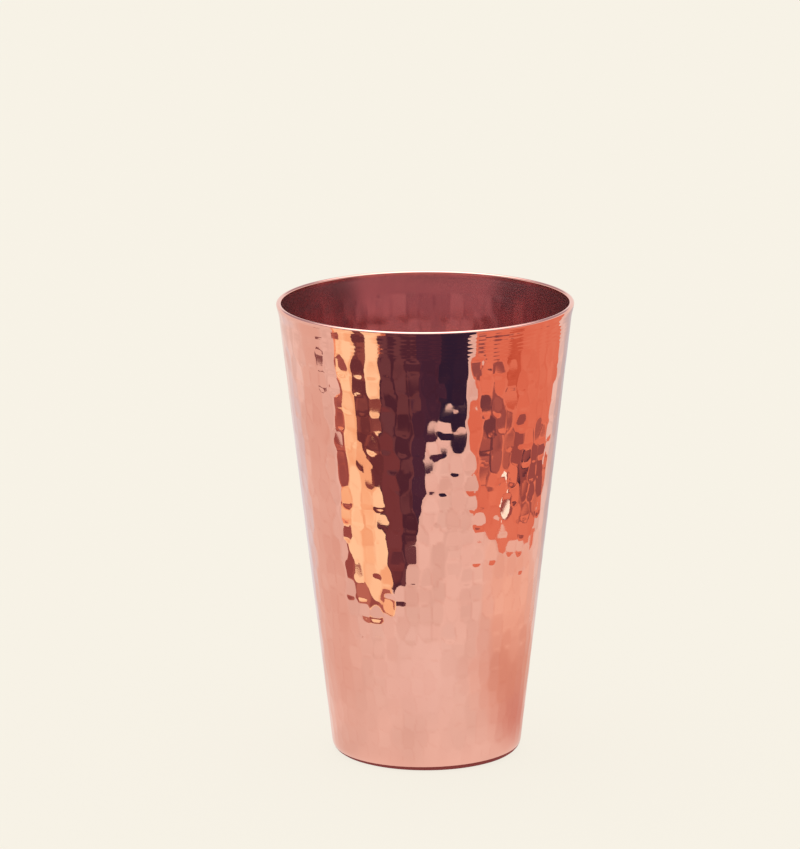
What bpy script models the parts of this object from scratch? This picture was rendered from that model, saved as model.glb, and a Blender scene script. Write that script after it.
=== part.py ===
"""Hammered copper bar cup: a tapered open vessel in three brazed pieces.

Run it with  blender --background --python part.py , or from Blender's text editor.
Metres, +Z up. The origin is on the cup's axis, in the plane that its foot stands on.

cup_wall    the tapered wall, with a rounded lip and a foot turned in to a flat flange
base_disc   the floor, which drops in from the mouth and seats on the flange
base_braze  the fillet of braze in the corner, which seals the floor to the wall
"""

import math

import bpy

# Driving dimensions, in metres
HEIGHT = 0.1383             # from the foot to the top of the lip
RIM_DIAMETER = 0.0890       # over the lip
FOOT_DIAMETER = 0.0565      # where the line of the wall would meet the ground
WALL_THICKNESS = 0.0011
LIP_OVERHANG = 0.00035      # how far the lip stands out past the line of the wall
FOOT_BEND_RADIUS = 0.0025   # inside radius of the bend between the wall and the flange
FLANGE_WIDTH = 0.0030       # flat part of the turned-in foot
DISC_THICKNESS = 0.0012
BRAZE_LEG = 0.0016          # height and width of the braze fillet
JOINT_GAP = 0.0003          # clearance between pieces that seat on each other

TURN_STEPS = 96             # facets round the axis
MERGE_DISTANCE = 1.0e-6
SHARP_ANGLE = math.radians(40.0)

# The line of the wall
RIM_RADIUS = RIM_DIAMETER / 2.0
FOOT_RADIUS = FOOT_DIAMETER / 2.0
TAPER = math.atan2(RIM_RADIUS - LIP_OVERHANG - FOOT_RADIUS, HEIGHT)

# The bend at the foot: every surface parallel to the wall turns about one centre
BEND_OUTER_RADIUS = FOOT_BEND_RADIUS + WALL_THICKNESS
BEND_CENTRE_R = FOOT_RADIUS - BEND_OUTER_RADIUS / math.tan((math.pi / 2.0 + TAPER) / 2.0)
FLANGE_RADIUS = BEND_CENTRE_R - FLANGE_WIDTH

# The lip: a round bead that touches the inner face, the rim diameter and the top
LIP_RADIUS = (LIP_OVERHANG * math.cos(TAPER) + WALL_THICKNESS) / (
    1.0 + math.cos(TAPER) - math.sin(TAPER))
LIP_CENTRE = (RIM_RADIUS - LIP_RADIUS, HEIGHT - LIP_RADIUS)
LIP_TUCK = math.acos((WALL_THICKNESS - LIP_RADIUS) / LIP_RADIUS)

# Heights of the floor
DISC_UNDERSIDE = WALL_THICKNESS + JOINT_GAP
DISC_TOP = DISC_UNDERSIDE + DISC_THICKNESS
BRAZE_UNDERSIDE = DISC_TOP + JOINT_GAP
SEAT_INSET = WALL_THICKNESS + JOINT_GAP


def arc(centre, radius, start, end, segments):
    """Points on an arc about centre, from angle start to angle end, both ends included."""
    points = []
    for step in range(segments + 1):
        angle = start + (end - start) * step / segments
        points.append((centre[0] + radius * math.cos(angle),
                       centre[1] + radius * math.sin(angle)))
    return points


def wall_surface(inset, low, high, segments=6):
    """Points up the surface that lies inset inside the wall's outer face, from low to high.

    The surface follows the bend at the foot and then the straight wall.
    """
    radius = BEND_OUTER_RADIUS - inset
    centre = (BEND_CENTRE_R, BEND_OUTER_RADIUS)

    def angle_at(height):
        return math.asin(max(-1.0, min(1.0, (height - centre[1]) / radius)))

    points = arc(centre, radius, min(angle_at(low), -TAPER), min(angle_at(high), -TAPER), segments)
    last_radius, last_height = points[-1]
    if high - last_height > MERGE_DISTANCE:
        points.append((last_radius + (high - last_height) * math.tan(TAPER), high))
    return points


def copper_material(name, color, roughness):
    """A plain metal material."""
    material = bpy.data.materials.new(name)
    material.use_nodes = True
    shader = material.node_tree.nodes["Principled BSDF"]
    shader.inputs["Base Color"].default_value = (*color, 1.0)
    shader.inputs["Roughness"].default_value = roughness
    shader.inputs["Metallic"].default_value = 1.0
    material.diffuse_color = (*color, 1.0)
    return material


def turned_piece(name, profile, closed, base_height, material, collection, parent):
    """A piece turned about Z from a profile of (radius, height) points.

    The profile runs down the outer side of the piece. base_height is the height of the
    piece's own origin.
    """
    count = len(profile)
    edges = [(index, index + 1) for index in range(count - 1)]
    if closed:
        edges.append((count - 1, 0))
    outline = bpy.data.meshes.new(name)
    outline.from_pydata([(radius, 0.0, height - base_height) for radius, height in profile],
                        edges, [])
    piece = bpy.data.objects.new(name, outline)
    collection.objects.link(piece)

    screw = piece.modifiers.new("turn", "SCREW")
    screw.axis = "Z"
    screw.angle = 2.0 * math.pi
    screw.steps = TURN_STEPS
    screw.render_steps = TURN_STEPS
    screw.use_merge_vertices = True
    screw.merge_threshold = MERGE_DISTANCE

    evaluated = piece.evaluated_get(bpy.context.evaluated_depsgraph_get())
    turned = bpy.data.meshes.new_from_object(evaluated)
    piece.modifiers.remove(screw)
    piece.data = turned
    bpy.data.meshes.remove(outline)
    turned.name = name
    turned.shade_smooth()
    turned.set_sharp_from_angle(angle=SHARP_ANGLE)
    turned.materials.append(material)

    piece.parent = parent
    piece.location = (0.0, 0.0, base_height)
    return piece


def cup_wall_profile():
    """The wall: over the lip, down the outside, under the flange and up the inside."""
    lip = arc(LIP_CENTRE, LIP_RADIUS, math.pi - TAPER, -TAPER - LIP_TUCK, 10)
    outside = wall_surface(0.0, 0.0, BEND_OUTER_RADIUS)
    flange = [(FLANGE_RADIUS, 0.0), (FLANGE_RADIUS, WALL_THICKNESS)]
    inside = wall_surface(WALL_THICKNESS, WALL_THICKNESS, BEND_OUTER_RADIUS)
    return lip + outside[::-1] + flange + inside


def base_disc_profile():
    """The floor: a flat disc whose edge is rounded to sit in the bend of the foot."""
    edge = wall_surface(SEAT_INSET, DISC_UNDERSIDE, DISC_TOP)
    return [(0.0, DISC_TOP)] + edge[::-1] + [(0.0, DISC_UNDERSIDE)]


def base_braze_profile():
    """The braze: a fillet with a hollow face, on the floor and against the wall."""
    top = BRAZE_UNDERSIDE + BRAZE_LEG
    back = wall_surface(SEAT_INSET, BRAZE_UNDERSIDE, top, 4)
    corner_radius = back[0][0]
    toe = (corner_radius - BRAZE_LEG, BRAZE_UNDERSIDE)
    head = back[-1]
    belly = (corner_radius - BRAZE_LEG * 0.35, BRAZE_UNDERSIDE + BRAZE_LEG * 0.35)
    face = []
    for step in range(1, 4):
        share = step / 4.0
        face.append(tuple(toe[axis] * (1.0 - share) ** 2
                          + belly[axis] * 2.0 * share * (1.0 - share)
                          + head[axis] * share ** 2 for axis in (0, 1)))
    return back[::-1] + [toe] + face


def build():
    """Model the cup."""
    for thing in list(bpy.data.objects):
        bpy.data.objects.remove(thing, do_unlink=True)

    collection = bpy.data.collections.new("bar_cup")
    bpy.context.scene.collection.children.link(collection)
    axis = bpy.data.objects.new("cup_axis", None)
    collection.objects.link(axis)

    wall_copper = copper_material("hammered_copper", (0.90, 0.49, 0.38), 0.16)
    base_copper = copper_material("base_copper", (0.85, 0.45, 0.34), 0.30)
    braze_metal = copper_material("braze", (0.80, 0.68, 0.45), 0.35)

    turned_piece("cup_wall", cup_wall_profile(), True, 0.0, wall_copper, collection, axis)
    turned_piece("base_disc", base_disc_profile(), False, DISC_UNDERSIDE, base_copper,
                 collection, axis)
    turned_piece("base_braze", base_braze_profile(), True, BRAZE_UNDERSIDE, braze_metal,
                 collection, axis)


build()
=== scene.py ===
import itertools
import math

import bmesh
import bpy
import numpy as np
from mathutils import Matrix, Vector


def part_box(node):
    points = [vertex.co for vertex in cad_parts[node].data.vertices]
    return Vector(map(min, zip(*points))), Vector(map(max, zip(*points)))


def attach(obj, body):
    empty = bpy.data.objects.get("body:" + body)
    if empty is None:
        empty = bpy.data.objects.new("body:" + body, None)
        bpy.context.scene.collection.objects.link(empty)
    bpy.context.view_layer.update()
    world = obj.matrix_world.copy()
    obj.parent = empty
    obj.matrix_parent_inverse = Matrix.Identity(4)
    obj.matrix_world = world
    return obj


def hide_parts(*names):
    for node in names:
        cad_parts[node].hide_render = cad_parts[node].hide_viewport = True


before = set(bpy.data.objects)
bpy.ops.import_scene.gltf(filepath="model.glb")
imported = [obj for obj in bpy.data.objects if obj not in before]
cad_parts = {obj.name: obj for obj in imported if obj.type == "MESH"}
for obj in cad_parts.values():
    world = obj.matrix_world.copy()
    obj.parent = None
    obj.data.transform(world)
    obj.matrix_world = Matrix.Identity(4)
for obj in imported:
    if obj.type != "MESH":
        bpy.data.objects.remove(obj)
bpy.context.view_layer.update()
scene = bpy.context.scene


# ---------------------------------------------------------------- The camera
# A long lens on a stand, a little under two metres in front of the cup and looking down
# on it, a hair off level.
cup_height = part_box("cup_wall")[1].z
camera_distance = 1.905
camera_tilt = math.radians(14.19)
camera_roll = math.radians(-0.26)
look_at = Vector((-0.0076, 0.0, 0.1004))

camera_data = bpy.data.cameras.new("camera")
camera_data.lens = 268.5
camera_data.sensor_width = 36.0
camera_data.clip_start = 0.05
camera_data.clip_end = 60.0
camera = bpy.data.objects.new("camera", camera_data)
scene.collection.objects.link(camera)
camera.location = (0.0, -camera_distance * math.cos(camera_tilt),
                   cup_height / 2 + camera_distance * math.sin(camera_tilt))
aim = (look_at - camera.location).to_track_quat("-Z", "Y").to_matrix().to_4x4()
camera.matrix_world = (Matrix.Translation(camera.location) @ aim
                       @ Matrix.Rotation(camera_roll, 4, "Z"))
scene.camera = camera


# ------------------------------------------------------------ Floor and light
# A plain cream light table under an even studio light, with one large softbox overhead.
# Glowing cards on the table and a glowing tent are painted reflections, standing in for what the
# polished copper mirrors: the dark end of the studio, warm boards to either side, the tent's roof,
# a painted shadow round the foot, a painted warm glow beside it and two painted glints. Only
# reflections see them.
scene.view_settings.view_transform = "Standard"
scene.view_settings.look = "None"

world = bpy.data.worlds.new("studio")
scene.world = world
world.use_nodes = True
background = world.node_tree.nodes["Background"]
background.inputs["Color"].default_value = (1.0, 0.985, 0.945, 1.0)
background.inputs["Strength"].default_value = 0.83

softbox_data = bpy.data.lights.new("softbox", "AREA")
softbox_data.size = 3.0
softbox_data.energy = 34.0
softbox_data.color = (1.0, 0.99, 0.96)
softbox = bpy.data.objects.new("softbox", softbox_data)
scene.collection.objects.link(softbox)
softbox.location = (-0.4, 0.5, 3.5)


def attribute(tree, name):
    """A value that the mesh carries."""
    carried = tree.nodes.new("ShaderNodeAttribute")
    carried.attribute_name = name
    return carried.outputs["Fac"]


def noise(tree, place, scale, detail):
    """A cloudy pattern that is fixed to the piece."""
    cloud = tree.nodes.new("ShaderNodeTexNoise")
    cloud.inputs["Scale"].default_value = scale
    cloud.inputs["Detail"].default_value = detail
    tree.links.new(place, cloud.inputs["Vector"])
    return cloud.outputs["Fac"]


def ranged(tree, value, low, high, to_low=0.0, to_high=1.0, smooth=False):
    """A value mapped from between low and high to between to_low and to_high."""
    mapping = tree.nodes.new("ShaderNodeMapRange")
    mapping.interpolation_type = "SMOOTHSTEP" if smooth else "LINEAR"
    mapping.inputs["From Min"].default_value = low
    mapping.inputs["From Max"].default_value = high
    mapping.inputs["To Min"].default_value = to_low
    mapping.inputs["To Max"].default_value = to_high
    tree.links.new(value, mapping.inputs["Value"])
    return mapping.outputs["Result"]


def mixed(tree, share, low, high):
    """A blend of two colours, each given as a colour or as another node's output."""
    blend = tree.nodes.new("ShaderNodeMix")
    blend.data_type = "RGBA"
    tree.links.new(share, blend.inputs["Factor"])
    for side, color in (("A", low), ("B", high)):
        if isinstance(color, tuple):
            blend.inputs[side].default_value = (*color, 1.0)
        else:
            tree.links.new(color, blend.inputs[side])
    return blend.outputs["Result"]


def acrylic(name, color, roughness, glow):
    """A cream acrylic sheet with a trace of unevenness, lit from below."""
    material = bpy.data.materials.new(name)
    material.use_nodes = True
    tree = material.node_tree
    shader = tree.nodes["Principled BSDF"]
    shader.inputs["Roughness"].default_value = roughness
    shader.inputs["Specular IOR Level"].default_value = 0.0
    shader.inputs["Emission Color"].default_value = (*glow, 1.0)
    shader.inputs["Emission Strength"].default_value = 1.0
    place = tree.nodes.new("ShaderNodeTexCoord").outputs["Object"]
    darker = tuple(0.99 * part for part in color)
    tree.links.new(mixed(tree, noise(tree, place, 3.0, 2.0), darker, color),
                   shader.inputs["Base Color"])
    return material


def mesh_object(name, work):
    """Turns a bmesh into an object in the scene."""
    mesh = bpy.data.meshes.new(name)
    work.to_mesh(mesh)
    work.free()
    made = bpy.data.objects.new(name, mesh)
    scene.collection.objects.link(made)
    return made


work = bmesh.new()
bmesh.ops.create_circle(work, cap_ends=True, segments=96, radius=8.0)
floor = mesh_object("table_top", work)
floor.data.materials.append(acrylic("cream_table", (0.080, 0.0776, 0.0718), 0.8,
                                    (0.848, 0.8094, 0.7209)))


def only_in_reflections(made):
    """Hides a thing from everything but reflections."""
    for seen_by in ("camera", "diffuse", "transmission", "volume_scatter", "shadow"):
        setattr(made, "visible_" + seen_by, False)


def card_material(name, color, other, grain, crisp, soft):
    """A card that shines evenly in one colour, or in patches of two, with an edge that fades."""
    material = bpy.data.materials.new(name)
    material.use_nodes = True
    tree = material.node_tree
    tree.nodes.clear()
    place = tree.nodes.new("ShaderNodeTexCoord").outputs["Object"]
    patches = ranged(tree, noise(tree, place, grain, 2.0), 0.5 - crisp, 0.5 + crisp, smooth=True)
    glow = tree.nodes.new("ShaderNodeEmission")
    tree.links.new(mixed(tree, patches, color, other), glow.inputs["Color"])
    core_share = ranged(tree, attribute(tree, "core"), 0.0, soft, smooth=True)
    clear = tree.nodes.new("ShaderNodeBsdfTransparent")
    fading = tree.nodes.new("ShaderNodeMixShader")
    tree.links.new(core_share, fading.inputs["Fac"])
    tree.links.new(clear.outputs["BSDF"], fading.inputs[1])
    tree.links.new(glow.outputs["Emission"], fading.inputs[2])
    output = tree.nodes.new("ShaderNodeOutputMaterial")
    tree.links.new(fading.outputs["Shader"], output.inputs["Surface"])
    return material


card_count = itertools.count(1)
card_step = 0.00004


def card(name, color, corners, other=None, grain=14.0, crisp=0.15, soft=0.0):
    """A flat card on the table, seen only in reflections. corners are (x, y) in metres.

    A soft card fades from its middle to its edge over that share of the way. Each card lies
    a little higher than the one before it.
    """
    card_lift = next(card_count) * card_step
    work = bmesh.new()
    core = work.verts.layers.float.new("core")
    rim = [work.verts.new((x, y, card_lift)) for x, y in corners]
    if soft:
        middle = work.verts.new((sum(x for x, y in corners) / len(corners),
                                 sum(y for x, y in corners) / len(corners), card_lift))
        middle[core] = 1.0
        for here, after in zip(rim, rim[1:] + rim[:1]):
            work.faces.new((here, after, middle))
    else:
        for corner in rim:
            corner[core] = 1.0
        work.faces.new(rim)
    made = mesh_object(name, work)
    made.data.materials.append(card_material(name, color, other or color, grain, crisp,
                                             soft or 0.5))
    only_in_reflections(made)
    return made


def ring_points(radius, count=48, shift=(0.0, 0.0)):
    """Corners of a round card."""
    return [(shift[0] + radius * math.cos(2 * math.pi * step / count),
             shift[1] + radius * math.sin(2 * math.pi * step / count)) for step in range(count)]


# Colours of the studio's cards; where two are given, the card has patches of both
navy = (0.031, 0.025, 0.068)
brown = (0.088, 0.038, 0.066)
maroon = (0.36, 0.135, 0.130)
orange = (0.83, 0.335, 0.225)
peach = (1.16, 1.15, 0.77)
card("card_pale_table", (0.82, 0.77, 0.72), ring_points(1.2), (0.93, 0.89, 0.84), 20.0, 0.15)
card("card_foot_shadow", (0.24, 0.085, 0.09), ring_points(0.0285, 64, (0.0006, 0.0)))
card("card_bright_front", (0.92, 0.90, 0.87),
     [(-0.09, -0.05), (-0.06, -0.12), (0.0, -0.14), (0.06, -0.12), (0.08, -0.06), (0.0, -0.04)],
     soft=0.9)
card("card_cool_left", (0.79, 0.84, 0.88),
     [(-0.05, 0.03), (-0.12, 0.06), (-0.34, 0.22), (-0.30, 0.45), (-0.02, 0.45), (-0.02, 0.07)],
     soft=0.6)
card("card_warm_left", (0.84, 0.72, 0.65),
     [(-0.02, -0.04), (-0.08, -0.07), (-0.20, -0.03), (-0.45, -0.02), (-0.46, 0.18), (-0.26, 0.20),
      (-0.08, 0.14), (-0.02, 0.07)], soft=0.45)
card("card_cool_right", (0.62, 0.61, 0.63),
     [(0.05, 0.06), (0.12, 0.10), (0.30, 0.28), (0.38, 0.75), (0.0, 0.75), (0.02, 0.08)],
     soft=0.6)
# Painted light: a warm glow on the table to the right of the foot, redder close to it, seen only
# in reflections
card("card_warm_foot", (0.77, 0.51, 0.41),
     [(0.018, -0.02), (0.05, -0.09), (0.14, -0.10), (0.19, -0.02), (0.18, 0.10), (0.11, 0.14),
      (0.04, 0.13), (0.018, 0.05)], soft=0.75)
card("card_red_foot", (0.70, 0.41, 0.35),
     [(0.024, -0.020), (0.050, -0.040), (0.085, -0.02), (0.090, 0.040), (0.060, 0.066),
      (0.03, 0.05), (0.020, 0.015)], soft=1.0)
card("card_salmon", (0.95, 0.76, 0.63),
     [(0.150, -0.16), (0.200, -0.10), (0.215, 0.02), (0.21, 0.15), (0.150, 0.18), (0.095, 0.12),
      (0.080, 0.04), (0.085, -0.06), (0.105, -0.13)], soft=0.9)
card("card_navy", navy,
     [(0.012, -0.253), (0.050, -0.247), (0.085, -0.238), (0.120, -0.222), (0.134, -0.214),
      (0.150, -0.232), (0.163, -0.252), (0.245, -0.305), (0.50, -0.62), (2.2, -3.0), (0.0, -3.0)],
     (0.045, 0.030, 0.070))
card("card_brown", brown,
     [(-0.060, -0.124), (-0.044, -0.138), (-0.028, -0.172), (-0.008, -0.204), (0.006, -0.232),
      (0.012, -0.30), (0.05, -3.0), (-1.75, -3.0), (-0.180, -0.32), (-0.180, -0.255),
      (-0.158, -0.198), (-0.112, -0.148), (-0.078, -0.130)],
     (0.165, 0.078, 0.100), 24.0, 0.07)
card("card_dark", (0.066, 0.035, 0.076),
     [(-0.028, -0.172), (-0.008, -0.204), (0.006, -0.236), (0.030, -0.249), (0.060, -0.246),
      (0.075, -0.36), (0.63, -3.0), (-0.30, -3.0), (-0.034, -0.33), (-0.030, -0.22)],
     (0.082, 0.040, 0.080), 24.0, 0.07)
card("card_brown_near", (0.20, 0.075, 0.090),
     [(-0.112, -0.148), (-0.078, -0.130), (-0.062, -0.128), (-0.056, -0.15), (-0.060, -0.190),
      (-0.085, -0.225), (-0.150, -0.235), (-0.158, -0.198)], soft=0.35)
card("card_peach", peach,
     [(-0.062, -0.118), (-0.098, -0.078), (-0.148, -0.046), (-0.20, -0.052), (-0.277, -0.074),
      (-0.355, -0.104), (-1.98, -0.50), (-1.9, -3.25), (-0.180, -0.32), (-0.180, -0.255),
      (-0.158, -0.198), (-0.112, -0.148), (-0.078, -0.130)],
     (1.06, 0.80, 0.47), 16.0, 0.10)
card("card_peach_rim", (0.92, 0.42, 0.26),
     [(-0.205, -0.054), (-0.277, -0.074), (-0.355, -0.104), (-1.98, -0.50), (-1.96, -0.60),
      (-0.345, -0.113), (-0.270, -0.082), (-0.208, -0.064)], (1.10, 0.72, 0.42), 40.0, 0.20)
card("card_peach_gap", (0.16, 0.06, 0.075),
     [(-0.128, -0.176), (-0.165, -0.160), (-0.208, -0.145), (-0.240, -0.146), (-0.266, -0.178),
      (-0.278, -0.207), (-1.84, -1.195), (-1.85, -1.53), (-0.238, -0.231), (-0.210, -0.205),
      (-0.190, -0.205), (-0.165, -0.222)], (0.30, 0.12, 0.11), 30.0, 0.08)
card("card_peach_edge", (0.98, 0.45, 0.26),
     [(-0.174, -0.285), (-0.178, -0.262), (-0.190, -0.262), (-0.205, -0.33), (-2.05, -3.2),
      (-1.75, -3.2), (-0.172, -0.32)], (0.30, 0.09, 0.08), 90.0, 0.10)
card("card_left_fringe", maroon,
     [(-0.300, -0.074), (-0.262, -0.062), (-0.224, -0.054), (-0.218, -0.078), (-0.255, -0.100),
      (-0.292, -0.110)], (0.62, 0.26, 0.20), 24.0, 0.10)
card("card_left_edge", maroon,
     [(-0.184, -0.047), (-0.150, -0.040), (-0.105, -0.074), (-0.070, -0.112), (-0.080, -0.120),
      (-0.112, -0.094), (-0.146, -0.066), (-0.182, -0.064)], (0.55, 0.26, 0.21), 34.0, 0.08)
card("card_left_mark", (0.26, 0.13, 0.14),
     [(-0.362, 0.026), (-0.348, 0.028), (-0.334, -0.022), (-0.344, -0.016)])
card("card_orange", orange,
     [(0.235, -0.288), (0.200, -0.240), (0.160, -0.200), (0.135, -0.140), (0.160, -0.094),
      (0.179, -0.049), (0.187, 0.0), (0.186, 0.08), (0.200, 0.150), (0.250, 0.200), (0.290, 0.250),
      (0.33, 0.32), (1.6, 1.4), (3.2, 0.0), (2.6, -2.4), (0.50, -0.62)],
     (0.80, 0.285, 0.185), 12.0, 0.12)
card("card_orange_patches", maroon,
     [(0.162, -0.170), (0.186, -0.118), (0.205, -0.060), (0.208, 0.0), (0.200, 0.080),
      (0.210, 0.150), (0.245, 0.185), (0.275, 0.170), (0.290, 0.100), (0.285, 0.030),
      (0.270, -0.030), (0.278, -0.100), (0.258, -0.175), (0.208, -0.215)],
     (0.86, 0.34, 0.22), 18.0, 0.06)
card("card_orange_near", (0.34, 0.14, 0.14),
     [(0.178, -0.190), (0.200, -0.178), (0.235, -0.215), (0.262, -0.262), (0.236, -0.270),
      (0.205, -0.232)], orange, 18.0, 0.06)
card("card_orange_deep", (0.60, 0.155, 0.090),
     [(0.296, -0.125), (0.299, -0.050), (0.345, -0.040), (0.385, -0.125)],
     (0.70, 0.21, 0.13), 20.0, 0.15)
card("card_navy_spot", navy,
     [(0.236, -0.040), (0.232, 0.000), (0.240, 0.040), (0.262, 0.035), (0.258, -0.020)],
     maroon, 22.0, 0.08)
card("card_maroon_front", (0.20, 0.085, 0.105),
     [(0.180, -0.165), (0.200, -0.128), (0.232, -0.108), (0.240, -0.140), (0.205, -0.190)],
     (0.44, 0.17, 0.15), 22.0, 0.08)
card("card_glint_high", (1.35, 1.75, 1.60),
     [(0.205, -0.072), (0.211, -0.057), (0.220, -0.057), (0.216, -0.073)])
card("card_glint_low", (1.35, 1.75, 1.60),
     [(0.177, -0.072), (0.180, -0.065), (0.184, -0.067), (0.182, -0.074)])

# The tent glows, seen only in reflections: dark towards the camera, a pale skirt round the rest,
# grey above, and a roof that glows brighter than white
tent_radius = 7.0
tent_foot = -0.01
work = bmesh.new()
bmesh.ops.create_uvsphere(work, u_segments=48, v_segments=64, radius=tent_radius)
bmesh.ops.delete(work, geom=[vert for vert in work.verts if vert.co.z < tent_foot],
                 context="VERTS")
tent = mesh_object("studio_tent", work)
cloth = bpy.data.materials.new("tent_cloth")
cloth.use_nodes = True
tree = cloth.node_tree
tree.nodes.clear()
split = tree.nodes.new("ShaderNodeSeparateXYZ")
tree.links.new(tree.nodes.new("ShaderNodeTexCoord").outputs["Object"], split.inputs["Vector"])


def tent_step(axis, low, high):
    """0 to 1 between two shares of the tent's radius, along one axis."""
    return ranged(tree, split.outputs[axis], low * tent_radius, high * tent_radius, smooth=True)


front_tone = mixed(tree, tent_step("Z", 0.20, 0.45), (0.050, 0.036, 0.060), (0.70, 0.66, 0.74))
back_tone = mixed(tree, tent_step("Z", 0.28, 0.40), (0.93, 0.90, 0.88), (0.45, 0.42, 0.50))
round_tone = mixed(tree, tent_step("Y", -0.80, -0.10), front_tone, back_tone)
glow = tree.nodes.new("ShaderNodeEmission")
tree.links.new(mixed(tree, tent_step("Z", 0.60, 0.85), round_tone, (2.2, 2.2, 2.2)),
               glow.inputs["Color"])
output = tree.nodes.new("ShaderNodeOutputMaterial")
tree.links.new(glow.outputs["Emission"], output.inputs["Surface"])
tent.data.materials.append(cloth)
only_in_reflections(tent)


# ---------------------------------------------------------------- The cup wall
# Copper sheet, about 1.1 mm, raised to a tapered cup. The lip is trimmed and rounded to a
# small bead, the band under it keeps its turning lines, and the rest is planished over a
# stake from outside, in rows round the cup. The foot is bent in to a flange.
rim_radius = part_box("cup_wall")[1].x
foot_radius = 0.02825
wall_thickness = 0.0011
lip_overhang = 0.00035
bend_radius = 0.0025
flange_width = 0.0030
plain_band = 0.0086
taper = math.atan2(rim_radius - lip_overhang - foot_radius, cup_height)

outer_bend = bend_radius + wall_thickness
bend_centre = (foot_radius - outer_bend / math.tan((math.pi / 2 + taper) / 2), outer_bend)
lip_height = 0.0006
lip_blend = 0.0045


def outer_radius(z):
    """Radius of the smooth outer cone at height z."""
    return foot_radius + z * math.tan(taper)


def inner_radius(z):
    """Radius of the smooth inner cone at height z."""
    return outer_radius(z) - wall_thickness / math.cos(taper)


def arc(centre, radius, start, end, segments):
    """Points on an arc of a turned outline, as (radius, height)."""
    angles = [start + (end - start) * step / segments for step in range(segments + 1)]
    return [(centre[0] + radius * math.cos(a), centre[1] + radius * math.sin(a)) for a in angles]


def ramp(start, end, segments):
    """Points between two points of a turned outline, without its ends."""
    return [(start[0] + (end[0] - start[0]) * step / segments,
             start[1] + (end[1] - start[1]) * step / segments) for step in range(1, segments)]


merge_distance = 2e-6


def spin(work, outline, steps):
    """Turns an outline of (radius, height) points about Z: an eighth, then copied round."""
    eighth = math.pi / 4
    known = set(work.verts)
    verts = [work.verts.new((radius, 0.0, z)) for radius, z in outline]
    edges = [work.edges.new(pair) for pair in zip(verts, verts[1:])]
    bmesh.ops.spin(work, geom=verts + edges, cent=(0, 0, 0), axis=(0, 0, 1), dvec=(0, 0, 0),
                   angle=eighth, steps=steps // 8, use_merge=False, use_duplicate=False)
    for eighths in (1, 2, 4):
        turned = [vert for vert in work.verts if vert not in known]
        parts = {part for vert in turned for part in (*vert.link_edges, *vert.link_faces)}
        copied = bmesh.ops.duplicate(work, geom=turned + list(parts))["geom"]
        copied_verts = [part for part in copied if isinstance(part, bmesh.types.BMVert)]
        bmesh.ops.rotate(work, verts=copied_verts, cent=(0, 0, 0),
                         matrix=Matrix.Rotation(eighths * eighth, 3, "Z"))
    bmesh.ops.remove_doubles(work, verts=[vert for vert in work.verts if vert not in known],
                             dist=merge_distance)


# The outline, over the lip and down the outside. The mesh is finest outside, and inside down
# to fine_depth under the lip; further down, the inside has half as many columns.
columns = 384
row_height = 0.00076
fine_depth = 0.028
lip_bulge_in = 0.00005
lip_z = cup_height - lip_height
lip_in = inner_radius(lip_z) - lip_bulge_in
lip_out = outer_radius(lip_z)
lip_middle, lip_half = (lip_in + lip_out) / 2, (lip_out - lip_in) / 2
lip = [(lip_middle + lip_half * math.cos(turn), lip_z + lip_height * math.sin(turn))
       for turn in np.linspace(math.pi, 0, 15)]
foot = arc(bend_centre, outer_bend, -taper, -math.pi / 2, 6)
band_z = lip_z - plain_band
band_end = (outer_radius(band_z), band_z)
fine_z = cup_height - fine_depth
fine_end = (inner_radius(fine_z), fine_z)
lip_foot = (inner_radius(lip_z - lip_height), lip_z - lip_height)
flange_radius = bend_centre[0] - flange_width
outside = ([fine_end] + ramp(fine_end, lip_foot, 31) + [lip_foot]
           + lip + ramp(lip[-1], band_end, 9) + [band_end]
           + ramp(band_end, foot[0], round((band_z - foot[0][1]) / row_height)) + foot
           + [(flange_radius, 0.0), (flange_radius, wall_thickness)])
inner_bend = arc(bend_centre, bend_radius, -math.pi / 2, -taper, 5)
inside = inner_bend + ramp(inner_bend[-1], fine_end, 36)

work = bmesh.new()
spin(work, outside, columns)
outer_rims = [edge for edge in work.edges if edge.is_boundary]
known = set(outer_rims)
spin(work, inside, columns // 2)
inner_rims = [edge for edge in work.edges if edge.is_boundary and edge not in known]


def near(edges, z):
    """The edges whose middle is at height z."""
    return [edge for edge in edges
            if abs(sum(vert.co.z for vert in edge.verts) / 2 - z) < 1e-5]


for outer_z, inner_z in ((fine_z, inside[-1][1]), (wall_thickness, inside[0][1])):
    bmesh.ops.bridge_loops(work, edges=near(outer_rims, outer_z) + near(inner_rims, inner_z))
bmesh.ops.recalc_face_normals(work, faces=work.faces)
wall = mesh_object("hammered_wall", work)

# The hammer marks: rows round the cup, each mark a nearly flat face with rounded corners that
# bites a little deeper at its lower end
rng = np.random.default_rng(11)
mark_width = 0.0043
mark_pitch = 0.0058
mark_corner = 0.0019
mark_reach_up = 0.0044
mark_reach_down = 0.0031
mark_edge_radius = 0.0042
face_radius = 0.20
first_row_drop = 0.0022
last_row_z = 0.004

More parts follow.
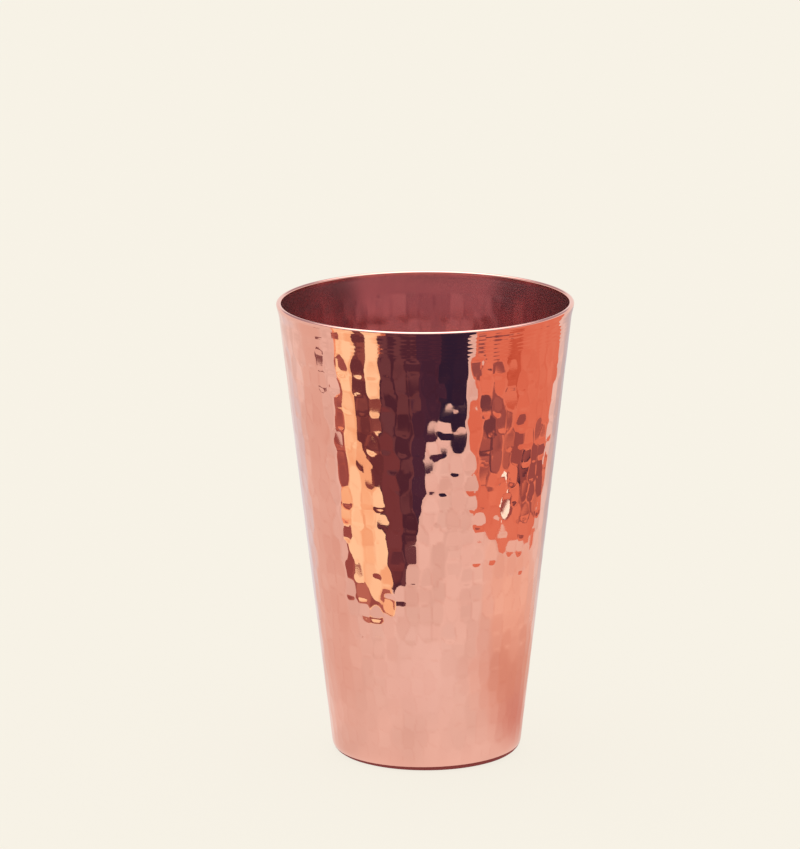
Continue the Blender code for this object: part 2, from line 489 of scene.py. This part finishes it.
# The cup narrows downwards, so the middle and lower rows have fewer marks
row_z = np.arange(band_z - first_row_drop, last_row_z, -mark_pitch)
row_count = np.where(row_z > 0.085, 61, np.where(row_z > 0.045, 55, 49))
row_start = np.concatenate([[0], np.cumsum(row_count)[:-1]])
row_phase = np.cumsum(rng.normal(0.0, 0.010, len(row_z)))
total = int(row_count.sum())
mark_row = np.repeat(np.arange(len(row_z)), row_count)
mark_place = np.arange(total) - row_start[mark_row]
step_angle = 2 * math.pi / row_count[mark_row]
mark_angle = row_phase[mark_row] + (mark_place + rng.normal(0, 0.09, total)) * step_angle
mark_z = (row_z[mark_row] + rng.normal(0, 0.00026, total)
          + 0.0005 * np.sin(2 * mark_angle + 0.15 * mark_row))
mark_depth = 0.000062 + rng.normal(0, 0.000012, total)
mark_half = mark_width / 2 * 1.13 * (1 + rng.normal(0, 0.06, total))
mark_tilt_u = rng.normal(0, 0.018, total)
mark_tilt_v = 0.005 + rng.normal(0, 0.011, total)
mark_turn = rng.normal(0, 0.07, total)
mark_tone = np.clip(rng.normal(0, 0.5, total), -1, 1)


def dish(mark, phi, z):
    """How far the face of a mark stands off the smooth cone; negative is inwards."""
    radius = outer_radius(z)
    gap = (phi - mark_angle[mark] + math.pi) % (2 * math.pi) - math.pi
    across = gap * radius
    along = (z - mark_z[mark]) / math.cos(taper)
    cos_turn, sin_turn = np.cos(mark_turn[mark]), np.sin(mark_turn[mark])
    u = across * cos_turn + along * sin_turn
    v = along * cos_turn - across * sin_turn
    face = (-mark_depth[mark] + across ** 2 / (2 * radius) + (u ** 2 + v ** 2) / (2 * face_radius)
            + mark_tilt_u[mark] * u + mark_tilt_v[mark] * v)
    middle = (mark_reach_up - mark_reach_down) / 2
    half_length = (mark_reach_up + mark_reach_down) / 2
    past_side = np.maximum(np.abs(u) - (mark_half[mark] - mark_corner), 0)
    past_end = np.maximum(np.abs(v - middle) - (half_length - mark_corner), 0)
    past = np.maximum(np.hypot(past_side, past_end) - mark_corner, 0)
    return face + past ** 2 / (2 * mark_edge_radius)


def deepest_marks(phi, z):
    """The two marks that lie deepest at each point, and their depths."""
    first = np.full(len(phi), 1.0)
    second = np.full(len(phi), 1.0)
    first_mark = np.zeros(len(phi), int)
    second_mark = np.zeros(len(phi), int)
    nearest_row = np.round((row_z[0] - z) / mark_pitch).astype(int)
    for row_step in (-1, 0, 1):
        row = np.clip(nearest_row + row_step, 0, len(row_z) - 1)
        place = np.round((phi - row_phase[row]) / (2 * math.pi) * row_count[row]).astype(int)
        for place_step in (-1, 0, 1):
            mark = row_start[row] + (place + place_step) % row_count[row]
            level = dish(mark, phi, z)
            known = (mark == first_mark) & (first < 1.0)
            deeper = (level < first) & ~known
            next_deeper = (level < second) & ~deeper & ~known & (mark != second_mark)
            second = np.where(deeper, first, np.where(next_deeper, level, second))
            second_mark = np.where(deeper, first_mark, np.where(next_deeper, mark, second_mark))
            first = np.where(deeper, level, first)
            first_mark = np.where(deeper, mark, first_mark)
    return first, second, first_mark, second_mark


def smooth_step(low, high, value):
    """0 below low, 1 above high and an even curve between them."""
    share = np.clip((value - low) / (high - low), 0, 1)
    return share * share * (3 - 2 * share)


fade_low = 0.0025
fade_high = 0.0075


def fade(z):
    """1 where the hammer worked at full weight, falling to 0 at the foot."""
    return smooth_step(fade_low, fade_high, z)


points = np.empty(len(wall.data.vertices) * 3)
wall.data.vertices.foreach_get("co", points)
points = points.reshape(-1, 3)
phi = np.arctan2(points[:, 1], points[:, 0])
z = points[:, 2].copy()
radius = np.hypot(points[:, 0], points[:, 1])
depth_in_wall = (outer_radius(z) - radius) * math.cos(taper)
on_outside = (np.abs(depth_in_wall) < 1e-6) & (z < band_z + 0.0001)
on_inside = ((np.abs(depth_in_wall - wall_thickness) < 1e-5) & (z > inner_bend[-1][1])
             & (z < band_z + 0.002))

# Mesh points near a ridge between two marks are moved onto it, so that the ridge is crisp
phi_out, z_out = phi[on_outside], z[on_outside]
first, second, first_mark, second_mark = deepest_marks(phi_out, z_out)
small = 2e-5
here_radius = outer_radius(z_out)
gap_here = second - first
gap_across = (dish(second_mark, phi_out + small / here_radius, z_out)
              - dish(first_mark, phi_out + small / here_radius, z_out))
gap_up = dish(second_mark, phi_out, z_out + small) - dish(first_mark, phi_out, z_out + small)
slope_across = (gap_across - gap_here) / small
slope_up = (gap_up - gap_here) / small
steep = slope_across ** 2 + slope_up ** 2 + 1e-12
move_across = -gap_here * slope_across / steep
move_up = -gap_here * slope_up / steep
half_cell = math.pi * here_radius / columns
half_row = row_height / 2
free = (z_out < band_z - half_row) & (z_out > foot[0][1] + half_row) & (first < 0)
snap = free & (np.abs(move_across) < half_cell) & (np.abs(move_up) < half_row)
phi_out = phi_out + np.where(snap, move_across / here_radius, 0)
z_out = z_out + np.where(snap, move_up, 0)
first, second, first_mark, second_mark = deepest_marks(phi_out, z_out)
stand_off = np.minimum(first, 0) * fade(z_out)

phi[on_outside], z[on_outside] = phi_out, z_out
radius[on_outside] = outer_radius(z_out) + stand_off

# Inside, the marks show through as soft bulges: the mean depth at five places close together
reach = 0.0006
bulge_weight = 1.2
soft = np.zeros(on_inside.sum())
for side, lift in ((0, 0), (-reach, -reach), (-reach, reach), (reach, -reach), (reach, reach)):
    at_z = z[on_inside] + lift
    soft += np.minimum(deepest_marks(phi[on_inside] + side / outer_radius(at_z), at_z)[0], 0) / 5
radius[on_inside] += bulge_weight * soft * fade(z[on_inside])

# The lip stands a little proud, more at the sides than at the front and back
lip_proud = 0.00020
lip_proud_swing = 0.00015
blend = smooth_step(cup_height - lip_blend, lip_z, z)
share = np.clip(1 - depth_in_wall / wall_thickness, 0, 1)
radius += (lip_proud + lip_proud_swing * np.cos(2 * phi)) * share * blend

# A hand-worked cup is never quite round
out_of_round = (0.00010 * np.sin(2 * phi + 0.4) + 0.00005 * np.sin(3 * phi + 2.0)
                + 0.00003 * np.sin(5 * phi + 1.0))
radius += out_of_round * smooth_step(0.0, 0.03, z)
points[:, 0] = radius * np.cos(phi)
points[:, 1] = radius * np.sin(phi)
points[:, 2] = z
wall.data.vertices.foreach_set("co", points.ravel())
wall.data.update()

# Each mark gets its own tone at random, and the ridge between two marks is darkened as painted
# shade; lower down both are fainter. Inside, the copper is browner and darker, most of all near
# the mouth.
worked = first < 0
# Painted shade: a dark line along each ridge between two marks
ridge_shade = np.exp(-np.abs(second - first) / 0.000006) * worked
weight = 0.5 + 0.5 * smooth_step(0.02, 0.06, z_out)
tone = np.zeros(len(points))
tone[on_outside] = worked * weight * (mark_tone[first_mark] * (1 - ridge_shade) - 1.4 * ridge_shade)
# Inside, each bulge has its own tone, and the crease between two bulges is darkened as painted
# shade
inner_first, inner_second, inner_mark = deepest_marks(phi[on_inside], z[on_inside])[:3]
inner_ridge_shade = np.exp(-np.abs(inner_second - inner_first) / 0.000018)
tone[on_inside] = 0.9 * mark_tone[inner_mark] * (1 - inner_ridge_shade) - 1.1 * inner_ridge_shade
browning = 0.30 + 0.70 * smooth_step(0.095, 0.134, z)
browning[(depth_in_wall < wall_thickness * 0.6) | (z > lip_z - 0.0001)] = 0
for name, values in (("tone_and_ridge_shade", tone), ("inside", browning)):
    wall.data.attributes.new(name, "FLOAT", "POINT").data.foreach_set("value", values)
wall.data.shade_smooth()


def times(tree, one, other, plus=None):
    """one times other, plus a third value. other may be a number."""
    product = tree.nodes.new("ShaderNodeMath")
    product.operation = "MULTIPLY" if plus is None else "MULTIPLY_ADD"
    tree.links.new(one, product.inputs[0])
    if isinstance(other, float):
        product.inputs[1].default_value = other
    else:
        tree.links.new(other, product.inputs[1])
    if plus is not None:
        tree.links.new(plus, product.inputs[2])
    return product.outputs["Value"]


def raised(tree, height, distance, strength, under=None):
    """Fine relief, on top of the relief under it."""
    relief = tree.nodes.new("ShaderNodeBump")
    relief.inputs["Strength"].default_value = strength
    relief.inputs["Distance"].default_value = distance
    tree.links.new(height, relief.inputs["Height"])
    if under is not None:
        tree.links.new(under, relief.inputs["Normal"])
    return relief.outputs["Normal"]


def bare_metal(name, deep, bright, roughness, tone_and_shade=None):
    """Bare metal, cloudy in tone and gloss. Its last argument names a mesh attribute that makes
    the tone lighter or darker, painted shade included.

    Returns the material, its shader, the place of its patterns, its tone and its gloss.
    """
    material = bpy.data.materials.new(name)
    material.use_nodes = True
    tree = material.node_tree
    shader = tree.nodes["Principled BSDF"]
    shader.inputs["Metallic"].default_value = 1.0
    place = tree.nodes.new("ShaderNodeTexCoord").outputs["Object"]
    cloud = noise(tree, place, 45.0, 5.0)
    share = times(tree, attribute(tree, tone_and_shade), 0.26, cloud) if tone_and_shade else cloud
    tone = mixed(tree, share, deep, bright)
    gloss = ranged(tree, cloud, 0.3, 0.7, *roughness)
    tree.links.new(tone, shader.inputs["Base Color"])
    tree.links.new(gloss, shader.inputs["Roughness"])
    return material, shader, place, tone, gloss


hammered, shader, place, tone, gloss = bare_metal(
    "hammered_copper", (0.845, 0.410, 0.330), (0.945, 0.525, 0.436), (0.018, 0.050), "tone_and_ridge_shade")
tree = hammered.node_tree

# The inside is browner, duller and a little less metallic, so it scatters a little light; its tone
# follows each bulge, with painted shade darkening the creases between them
within = attribute(tree, "inside")
inside_tone_and_shade = ranged(tree, attribute(tree, "tone_and_ridge_shade"), -1.4, 1.0)
brown_copper = mixed(tree, inside_tone_and_shade, (0.40, 0.160, 0.190), (0.75, 0.360, 0.360))
tree.links.new(mixed(tree, within, tone, brown_copper), shader.inputs["Base Color"])
tree.links.new(times(tree, within, 0.12, gloss), shader.inputs["Roughness"])
tree.links.new(ranged(tree, within, 0.0, 1.0, 1.0, 0.89), shader.inputs["Metallic"])

# Turning lines on the plain band, cut deeper on one side and fainter inside
band_fade = 0.002
split = tree.nodes.new("ShaderNodeSeparateXYZ")
tree.links.new(place, split.inputs["Vector"])
band = ranged(tree, split.outputs["Z"], band_z - band_fade, band_z + band_fade, smooth=True)
one_side = ranged(tree, split.outputs["X"], -0.018, 0.012, 0.15, smooth=True)
fainter = ranged(tree, within, 0.0, 1.0, 1.0, 0.35)
turned = tree.nodes.new("ShaderNodeTexWave")
turned.wave_type = "BANDS"
turned.bands_direction = "Z"
turned.inputs["Scale"].default_value = 262.0
turned.inputs["Distortion"].default_value = 1.5
turned.inputs["Detail"].default_value = 2.0
turned.inputs["Detail Scale"].default_value = 0.6
tree.links.new(place, turned.inputs["Vector"])
lines = times(tree, times(tree, times(tree, band, turned.outputs["Fac"]), one_side), fainter)
turning = raised(tree, lines, 0.000009, 1.0)

# Hair-fine polishing marks, drawn out round the cup
stretch = tree.nodes.new("ShaderNodeMapping")
stretch.inputs["Scale"].default_value = (1.0, 1.0, 14.0)
tree.links.new(place, stretch.inputs["Vector"])
scratches = noise(tree, stretch.outputs["Vector"], 420.0, 3.0)
tree.links.new(raised(tree, scratches, 0.0000015, 0.5, turning), shader.inputs["Normal"])

wall.data.materials.append(hammered)
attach(wall, "root")
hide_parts("cup_wall")


# ---------------------------------------------------------------- The floor disc
# A disc cut from the same sheet, faced on a lathe so that fine rings show, with its edge
# rounded to sit in the bend of the foot. It is dropped in from the mouth.
disc_low, disc_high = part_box("base_disc")
seat_gap = 0.0003
edge_turn = 1.10
disc_edge = arc(bend_centre, bend_radius - seat_gap, -math.pi / 2, -math.pi / 2 + edge_turn, 6)
disc_dome = 0.00025
ring_wave = 0.000012
ring_count = 34
ring_turn = 2.4
under_count = 12
disc_radius = disc_edge[-1][0]
top = []
for step in range(ring_count):
    share = step / ring_count
    wave = ring_wave * math.sin(step * ring_turn)
    top.append((disc_radius * share, disc_high.z - disc_dome * (1 - share ** 2) + wave))
under = [(disc_edge[0][0] * (1 - step / under_count), disc_low.z)
         for step in range(1, under_count + 1)]
work = bmesh.new()
spin(work, top + disc_edge[::-1] + under, 192)
bmesh.ops.recalc_face_normals(work, faces=work.faces)
disc = mesh_object("floor_disc", work)
disc.data.shade_smooth()
disc.data.set_sharp_from_angle(angle=math.radians(40))

faced, shader, place = bare_metal(
    "faced_copper", (0.80, 0.40, 0.31), (0.87, 0.45, 0.36), (0.20, 0.32))[:3]
tree = faced.node_tree
rings = tree.nodes.new("ShaderNodeTexWave")
rings.wave_type = "RINGS"
rings.rings_direction = "Z"
rings.inputs["Scale"].default_value = 420.0
rings.inputs["Distortion"].default_value = 0.8
tree.links.new(place, rings.inputs["Vector"])
tree.links.new(raised(tree, rings.outputs["Fac"], 0.000008, 0.6), shader.inputs["Normal"])
disc.data.materials.append(faced)
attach(disc, "root")
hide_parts("base_disc")


# ---------------------------------------------------------------- The braze
# A ring of silver braze, run into the corner between floor and wall and wiped: its toe
# wanders a little and its face is hollow.
braze_low, braze_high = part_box("base_braze")
braze_leg = braze_high.z - braze_low.z
braze_gap = 0.0001
hollow = 0.0003
toe_sink = 0.00003
back = arc(bend_centre, bend_radius - braze_gap, -0.60, -taper, 5)
back.append((back[-1][0] + (braze_high.z - back[-1][1]) * math.tan(taper), braze_high.z))
toe = (disc_radius - braze_leg * 0.8, disc_high.z - toe_sink)
belly = (disc_radius - hollow, disc_high.z + hollow)
face = []
for step in range(1, 8):
    share = step / 8
    face.append(tuple(toe[axis] * (1 - share) ** 2 + 2 * belly[axis] * share * (1 - share)
                      + back[-1][axis] * share ** 2 for axis in (0, 1)))
outline = back[::-1] + [toe] + face
work = bmesh.new()
spin(work, outline + outline[:1], 240)
for vert in work.verts:
    around = math.atan2(vert.co.y, vert.co.x)
    wander = 0.00012 * math.sin(7 * around) + 0.00009 * math.sin(17 * around + 1.0)
    inward = max(0.0, (disc_radius - math.hypot(vert.co.x, vert.co.y)) / braze_leg)
    pull = 1 + wander * inward / disc_radius
    vert.co.x *= pull
    vert.co.y *= pull
bmesh.ops.recalc_face_normals(work, faces=work.faces)
braze = mesh_object("braze_ring", work)
braze.data.shade_smooth()
braze.data.set_sharp_from_angle(angle=math.radians(50))

silver, shader, place = bare_metal(
    "silver_braze", (0.62, 0.50, 0.36), (0.80, 0.70, 0.52), (0.25, 0.42))[:3]
tree = silver.node_tree
grain = noise(tree, place, 900.0, 4.0)
tree.links.new(raised(tree, grain, 0.00003, 0.5), shader.inputs["Normal"])
braze.data.materials.append(silver)
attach(braze, "root")
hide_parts("base_braze")
